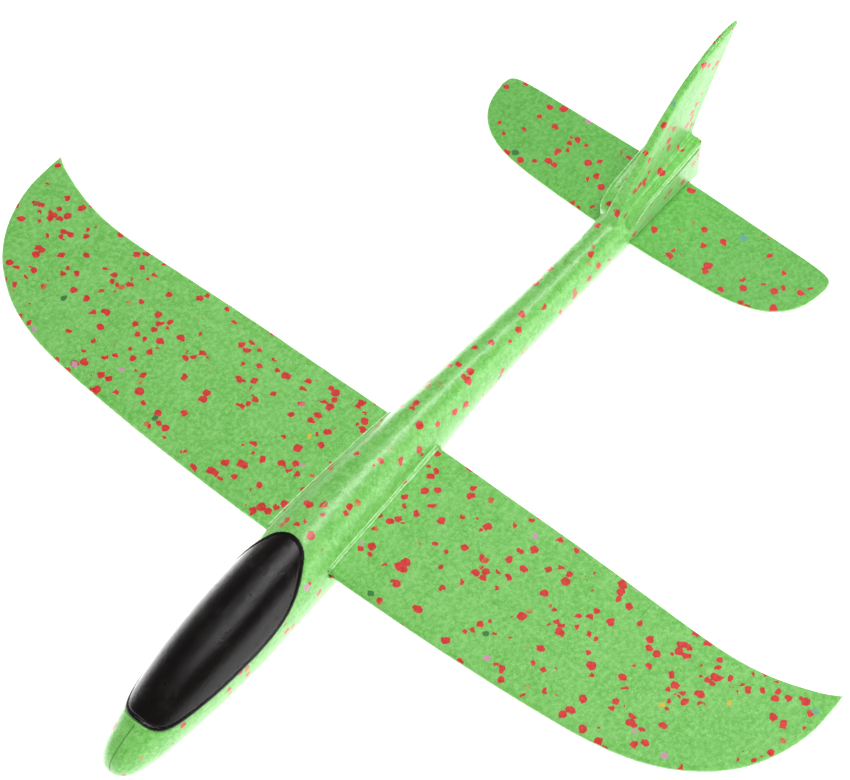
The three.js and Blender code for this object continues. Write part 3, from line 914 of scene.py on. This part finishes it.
for side, tag in ((1, "port"), (-1, "starboard")):
    # living hinge: a thin skin of foam at the bottom of the groove
    ys = np.arange(FLAP_IN, FLAP_OUT + 0.01, 1.6)
    rows = []
    for yv in ys:
        zt = float(wing_top(np.array(HINGE_X), np.array(yv)))
        rows.append([(HINGE_X + 1.1, yv, zt - 0.16), (HINGE_X + 0.6, yv, zt - 0.07), (HINGE_X + 0.3, yv, zt - 0.05), (HINGE_X + 0.05, yv, zt - 0.07),
                     (HINGE_X - 0.16, yv, zt - 0.16), (HINGE_X - 0.34, yv, zt - 0.05), (HINGE_X - 0.56, yv, zt - 0.02), (HINGE_X - 0.9, yv, zt - 0.05),
                     (HINGE_X - 1.3, yv, zt - 0.2), (HINGE_X - 0.75, yv, 0.25), (HINGE_X - 0.2, yv, -0.2), (HINGE_X + 0.8, yv, -0.2)])
    m = len(rows[0])
    v = np.array([(x, side * yv, z) for row in rows for x, yv, z in row])
    faces = []
    for i in range(len(rows) - 1):
        for j in range(m):
            l = (j + 1) % m
            faces.append((i * m + j, (i + 1) * m + j, (i + 1) * m + l, i * m + l))
    faces.append(tuple(range(m)))
    faces.append(tuple((len(rows) - 1) * m + j for j in range(m))[::-1])
    web = poly_object("hinge_web_" + tag, v, faces, FOAM_WING)
    bm = bmesh.new()
    bm.from_mesh(web.data)
    bmesh.ops.recalc_face_normals(bm, faces=bm.faces)
    bm.to_mesh(web.data)
    bm.free()
    start = ((np.array([HINGE_X + 0.3, side * 88.0, HINGE_Z]) + SHIFT) * 0.001).tolist()
    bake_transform(web)

    # raised lip along the upper edge of the wing slot, and the stop bead on the wing beside it; both pale, a painted
    # highlight on their edges
    xs = np.arange(45.2, 127.2, 0.9)
    zt = wing_top(xs, np.zeros_like(xs)) + SNUG + 0.95
    inner = np.stack([xs, np.zeros_like(xs), zt - 0.3], 1)
    out = solve(lambda x, y, z: body(x, y, z) - flange_reach(x), inner, np.tile([0.0, side, 0.0], (len(xs), 1)), 40)
    lip = out + np.array([0, -side * 0.22, 0.10])
    strip("slot_lip_" + tag, even(lip, 0.9), np.tile([0, 0.6 * side, 0.8], (len(even(lip, 0.9)), 1)), ridge(0.42, 0.42), RIDGE_PAINTED_HIGHLIGHT,
          "fuselage_body")
    inner_edge = solve(body, inner + np.array([0, 0, 0.45]), np.tile([0.0, side, 0.0], (len(xs), 1)), 40) + np.array([0, 0, -0.1])
    e = even(inner_edge, 0.9)
    strip("slot_fillet_" + tag, e, np.tile([0, 0.7 * side, 0.7], (len(e), 1)), ridge(0.5, 0.34), RIDGE_PAINTED_HIGHLIGHT, "fuselage_body")
    # trailing edge parting ridge on the flap
    ys = np.linspace(FLAP_IN + 0.3, FLAP_OUT - 0.3, 110)
    p = np.stack([wing.te(ys) + PARTING + 0.02, side * ys, np.full_like(ys, 0.12)], 1)
    strip("flap_ridge_" + tag, even(p, 1.2), np.tile([-1.0, 0.0, 0.0], (len(even(p, 1.2)), 1)), ridge(0.24, 0.3), SKIN_EDGE,
          "flap_%s_body" % tag)


def outline_ridge(plane, inset, start_y, name, bodyname, z, w, h, closed, from_y=0.0, side=1):
    """The mould's parting ridge round the edge of a flying surface, pale as a painted highlight."""
    o = plane.outline[1:-1]
    d = np.gradient(o, axis=0)
    n = np.stack([d[:, 1], -d[:, 0]], 1)
    n /= np.linalg.norm(n, axis=1, keepdims=True)
    centre = np.array([o[:, 0].mean(), 0])
    flip = ((o - centre) * n).sum(1).mean() < 0
    n = -n if flip else n
    pts = o - n * inset
    if start_y:
        last = len(pts)
        while pts[last - 1, 1] < start_y:
            last -= 1
        first = int(np.argmax(pts[:, 1] > from_y))
        pts, n = pts[first:last] * [1, side], n[first:last] * [1, side]
    else:
        pts = np.vstack([pts[::-1][1:] * [1, -1], pts[:-1]])
        n = np.vstack([n[::-1][1:] * [1, -1], n[:-1]])
        pts = np.vstack([pts, pts[:1]])
        n = np.vstack([n, n[:1]])
    path, outward = even(np.column_stack([pts, np.full(len(pts), z)]), 1.1, np.column_stack([n, np.zeros(len(n))]))
    if closed:
        path, outward = path[:-1], outward[:-1]
    return strip(name, path, outward, ridge(w, h), RIDGE_PAINTED_HIGHLIGHT, bodyname, closed)


for side, tag in ((1, "port"), (-1, "starboard")):
    outline_ridge(wing, PARTING, FLAP_OUT + 0.4, "wing_parting_ridge_" + tag, "wing_body", 0.2, 0.34, 0.34, False, 33.5, side)
outline_ridge(tail, 0.25, 0, "tail_parting_ridge", "tailplane_body", TAIL_Z + 0.15, 0.3, 0.26, True)

# mould seam of the fuselage: crest, fin edges, nose and boom belly; the pale fin rear and boom seams carry a painted
# highlight, the dark nose seam painted shade
def seam(name, path, w, h, material):
    n = normals_of(fuselage, path)
    n[:, 1] = 0
    path, n = even(path, 1.0, n)
    strip(name, path, n, ridge(w, h), material, "fuselage_body")


xs = np.arange(129.4, -101.0, -1.0)
crest = solve(fuselage, np.stack([xs, 0 * xs, np.where(xs > 34, 6.5, 1.0)], 1), np.tile([0, 0, 1.0], (len(xs), 1)), 40)
zs = np.arange(crest[-1, 2] + 0.5, 68.2, 0.6)
lead = solve(fuselage, np.stack([FIN_LE(zs) - 5.0, 0 * zs, zs], 1), np.tile([1.0, 0, 0], (len(zs), 1)), 30)
seam("crest_seam", np.vstack([crest, lead]), 0.15, 0.07, SKIN_EDGE)
zs = np.arange(67.6, 19.0, -0.8)
trail = solve(fuselage, np.stack([FIN_TE(zs) + 5.0, 0 * zs, zs], 1), np.tile([-1.0, 0, 0], (len(zs), 1)), 30)
seam("fin_rear_seam", trail, 0.20, 0.13, RIDGE_PAINTED_HIGHLIGHT)
turn = np.radians(np.linspace(62.5, -80.0, 60))
nose = solve(fuselage, np.tile([235.0, 0, -15.0], (60, 1)), np.stack([np.cos(turn), 0 * turn, np.sin(turn)], 1), 40)
seam("nose_seam", nose, 0.22, 0.10, SEAM_PAINTED_SHADE)
xs = np.arange(34.0, -164.0, -1.0)
keel = solve(fuselage, np.stack([xs, 0 * xs, np.full_like(xs, -12.4)], 1), np.tile([0, 0, -1.0], (len(xs), 1)), 40)
seam("boom_seam", keel, 0.20, 0.13, RIDGE_PAINTED_HIGHLIGHT)

# tail block rims, slit lips and fin borders take the pale painted highlight tone
for side, tag in ((1, "port"), (-1, "starboard")):
    xs = np.arange(-113.0, -165.4, -0.8)
    half = BOSS_HALF(xs)
    rim = np.stack([xs, side * (half - 0.3), BOSS_TOP(xs) - 0.25], 1)
    e = even(rim, 0.8)
    strip("tail_block_rim_" + tag, e, np.tile([0, 0.7 * side, 0.7], (len(e), 1)), ridge(0.34, 0.36), RIDGE_PAINTED_HIGHLIGHT, "fuselage_body")
    xs = np.arange(-133.0, -163.5, -0.8)
    low = np.interp(-xs, [-r[0] for r in UPPER_SLOT], [r[1] for r in UPPER_SLOT])
    lip = np.stack([xs, side * (BOSS_HALF(xs) - 0.25), low - 0.3], 1)
    e = even(lip, 0.8)
    strip("slit_lip_" + tag, e, np.tile([0, 0.9 * side, 0.4], (len(e), 1)), ridge(0.26, 0.34), RIDGE_PAINTED_HIGHLIGHT, "fuselage_body")
    zs = np.arange(19.0, 66.0, 0.8)
    slope = np.sqrt(1 + FIN_LE.slope(zs) ** 2)
    edge = solve(fin, np.stack([FIN_LE(zs) - 4.5 * slope, 0 * zs, zs], 1), np.tile([0.0, side, 0.0], (len(zs), 1)), 8)
    e = even(edge, 0.8)
    strip("fin_border_" + tag, e, np.tile([0.0, side, 0.0], (len(e), 1)), ridge(0.2, 0.12), RIDGE_PAINTED_HIGHLIGHT, "fuselage_body")

# small vent marks in the canopy: dull black discs, painted shade of the pits
VENTS = [(148.4, -11.0), (158.4, -9.6), (163.0, -10.9), (176.6, -10.9), (189.1, -10.1), (200.6, -9.1), (211.6, -6.7), (220.6, -9.3),
         (168.9, -14.6), (196.5, -12.9), (209.1, -12.0), (151.5, 15.7), (163.1, 17.1), (168.0, 12.4), (169.9, 16.9), (178.1, 17.8),
         (186.5, 12.9), (191.4, 17.8), (203.7, 17.0), (216.8, 15.0), (165.0, 3.7), (220.5, 0.0), (229.8, 0.1)]
v, faces = [], []
for vx, vy in VENTS:
    at = solve(canopy_skin, [[vx, vy, -8.0]], [[0, 0, 1.0]], 40)
    nn = normals_of(canopy_skin, at)[0]
    t1 = np.cross(nn, [1.0, 0, 0])
    t1 /= np.linalg.norm(t1)
    t2 = np.cross(nn, t1)
    start = len(v)
    for r, up in ((0.42, -0.2), (0.42, 0.03), (0.3, 0.05), (0.2, -0.02)):
        for a in np.linspace(0, 2 * math.pi, 13)[:-1]:
            v.append(at[0] + nn * up + (t1 * math.cos(a) + t2 * math.sin(a)) * r)
    for ring in range(3):
        for j in range(12):
            l = (j + 1) % 12
            faces.append((start + ring * 12 + j, start + ring * 12 + l, start + ring * 12 + 12 + l, start + ring * 12 + 12 + j))
    faces.append(tuple(start + 36 + j for j in range(12)))
    faces.append(tuple(start + j for j in range(12))[::-1])
vents = poly_object("canopy_vents", v, faces, VENT_PIT_PAINTED_SHADE)
bm = bmesh.new()
bm.from_mesh(vents.data)
bmesh.ops.recalc_face_normals(bm, faces=bm.faces)
bm.to_mesh(vents.data)
bm.free()
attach(vents, "fuselage_body")

# ballast slug, turned, with chamfered ends
lo, hi = (np.array(v) * 1000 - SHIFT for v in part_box("nose_weight"))
radius = (hi[0] - lo[0]) / 2
mid = (lo + hi) / 2
outline = [(0, lo[2]), (radius - 0.7, lo[2]), (radius - 0.45, lo[2] + 0.1), (radius - 0.1, lo[2] + 0.45), (radius, lo[2] + 0.7),
           (radius, hi[2] - 0.7), (radius - 0.1, hi[2] - 0.45), (radius - 0.45, hi[2] - 0.1), (radius - 0.7, hi[2]),
           (1.1, hi[2]), (0.75, hi[2] - 0.18), (0, hi[2] - 0.6)]
v, faces = [], []
for r, z in outline:
    for t in np.linspace(0, 2 * math.pi, 65)[:-1]:
        v.append((mid[0] + r * math.cos(t), mid[1] + r * math.sin(t), z))
for i in range(len(outline) - 1):
    for j in range(64):
        l = (j + 1) % 64
        faces.append((i * 64 + j, i * 64 + l, (i + 1) * 64 + l, (i + 1) * 64 + j))
slug = poly_object("ballast_slug", v, faces, STEEL)
bm = bmesh.new()
bm.from_mesh(slug.data)
bmesh.ops.remove_doubles(bm, verts=bm.verts, dist=1e-7)
bmesh.ops.recalc_face_normals(bm, faces=bm.faces)
for edge in bm.edges:
    edge.smooth = len(edge.link_faces) == 2 and edge.calc_face_angle() < 0.5
bm.to_mesh(slug.data)
bm.free()
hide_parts("nose_weight")
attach(slug, "fuselage_body")

# ------------------------------------------------------------------ floor, light, camera
floor_mat = Nodes("pale_floor")
floor_mat.shader.inputs["Base Color"].default_value = (0.30, 0.30, 0.30, 1)
floor_mat.shader.inputs["Roughness"].default_value = 0.9
floor_mat.shader.inputs["Specular IOR Level"].default_value = 0.0
floor_mat.shader.inputs["Emission Color"].default_value = (1, 1, 1, 1)
# the floor glows 1.1 to the camera; reflections see 2.1, rising to 4.6 towards starboard: a painted reflection for the
# canopy's starboard band and the foam's grazing edges
seen = floor_mat.new("ShaderNodeLightPath")
where = floor_mat.new("ShaderNodeSeparateXYZ")
floor_mat.link(floor_mat.mm(), where.inputs[0])
glossy_reflection_boost = floor_mat.math("MULTIPLY_ADD", floor_mat.ramp(where.outputs[1], -4.0, -34.0), 2.5, 1.0)
floor_mat.link(floor_mat.math("MULTIPLY_ADD", seen.outputs["Is Glossy Ray"], glossy_reflection_boost, 1.1), floor_mat.shader.inputs["Emission Strength"])
fm = bpy.data.meshes.new("floor")
ring = [(6 * math.cos(t), 6 * math.sin(t), 0.0) for t in np.linspace(0, 2 * math.pi, 97)[:-1]]
fm.from_pydata(ring, [], [tuple(range(96))])
fm.materials.append(floor_mat.mat)
floor = bpy.data.objects.new("floor", fm)
bpy.context.scene.collection.objects.link(floor)

world = bpy.data.worlds.new("studio")
bpy.context.scene.world = world
world.use_nodes = True
wt = world.node_tree
wt.nodes.clear()
wo = wt.nodes.new("ShaderNodeOutputWorld")
mixw = wt.nodes.new("ShaderNodeMixShader")
path = wt.nodes.new("ShaderNodeLightPath")
dim = wt.nodes.new("ShaderNodeBackground")
dim.inputs[0].default_value = (1, 1, 1, 1)
coord = wt.nodes.new("ShaderNodeTexCoord")
split = wt.nodes.new("ShaderNodeSeparateXYZ")
fade = wt.nodes.new("ShaderNodeMapRange")
fade.interpolation_type = "SMOOTHSTEP"
for key, value in (("From Min", 0.05), ("From Max", 0.6), ("To Min", 1.0), ("To Max", 0.12)):
    fade.inputs[key].default_value = value
wt.links.new(coord.outputs["Generated"], split.inputs[0])
wt.links.new(split.outputs[2], fade.inputs["Value"])
wt.links.new(fade.outputs[0], dim.inputs[1])
lit = wt.nodes.new("ShaderNodeBackground")
lit.inputs[0].default_value = (1, 1, 1, 1)
lit.inputs[1].default_value = 1.0
wt.links.new(path.outputs["Is Camera Ray"], mixw.inputs[0])
wt.links.new(dim.outputs[0], mixw.inputs[1])
wt.links.new(lit.outputs[0], mixw.inputs[2])
wt.links.new(mixw.outputs[0], wo.inputs[0])


def area(name, direction, distance, size_x, size_y, power, target=(0.0, 0.0, 0.03), along=(1, 0, 0), glossy=True, diffuse=True):
    """A softbox in a given direction, its long side along one axis."""
    d = Vector(direction).normalized()
    light = bpy.data.lights.new(name, "AREA")
    light.shape = "RECTANGLE"
    light.size, light.size_y = size_x, size_y
    light.energy = power
    o = bpy.data.objects.new(name, light)
    zaxis = d
    xaxis = (Vector(along) - zaxis * Vector(along).dot(zaxis)).normalized()
    yaxis = zaxis.cross(xaxis)
    m = Matrix((xaxis, yaxis, zaxis)).transposed().to_4x4()
    m.translation = Vector(target) + d * distance
    o.matrix_world = m
    o.visible_camera = False
    o.visible_glossy = glossy
    o.visible_diffuse = diffuse
    bpy.context.scene.collection.objects.link(o)
    return o


area("overhead_soft", (-0.16, 0.20, 0.96), 1.6, 1.1, 0.9, 20.0, glossy=False)
area("overhead_strip", (-0.41, -0.03, 0.91), 1.6, 1.2, 0.09, 17.0, diffuse=False)
area("port_glow", (-0.41, 0.90, 0.20), 1.6, 1.5, 0.8, 10.0, diffuse=False)
area("port_softbox", (-0.05, 0.97, 0.16), 1.6, 1.5, 0.6, 2.5, glossy=False)

cam_data = bpy.data.cameras.new("photo_camera")
cam = bpy.data.objects.new("photo_camera", cam_data)
bpy.context.scene.collection.objects.link(cam)
az, el, roll, dist, tx, ty, focal = 0.7091071, 1.0046655, -0.0247710, 1667.745, 22.735, -10.803, 3503.3
c = np.array([math.cos(el) * math.cos(az), math.cos(el) * math.sin(az), math.sin(el)])
right = np.cross(-c, [0, 0, 1.0])
right /= np.linalg.norm(right)
up = np.cross(right, -c)
rx = math.cos(roll) * right + math.sin(roll) * up
ux = -math.sin(roll) * right + math.cos(roll) * up
place = (np.array([tx, ty, 0.0]) + c * dist + SHIFT) * 0.001
cm = Matrix(((rx[0], ux[0], c[0], place[0]), (rx[1], ux[1], c[1], place[1]), (rx[2], ux[2], c[2], place[2]), (0, 0, 0, 1)))
cam.matrix_world = cm
cam_data.sensor_fit = "HORIZONTAL"
cam_data.sensor_width = 36.0
cam_data.lens = 36.0 * focal / 850
cam_data.shift_x = -0.55 / 850
cam_data.shift_y = 0.12 / 850
cam_data.clip_start = 0.05
cam_data.clip_end = 50
bpy.context.scene.camera = cam
bpy.context.scene.view_settings.view_transform = "Standard"
bpy.context.scene.view_settings.look = "None"
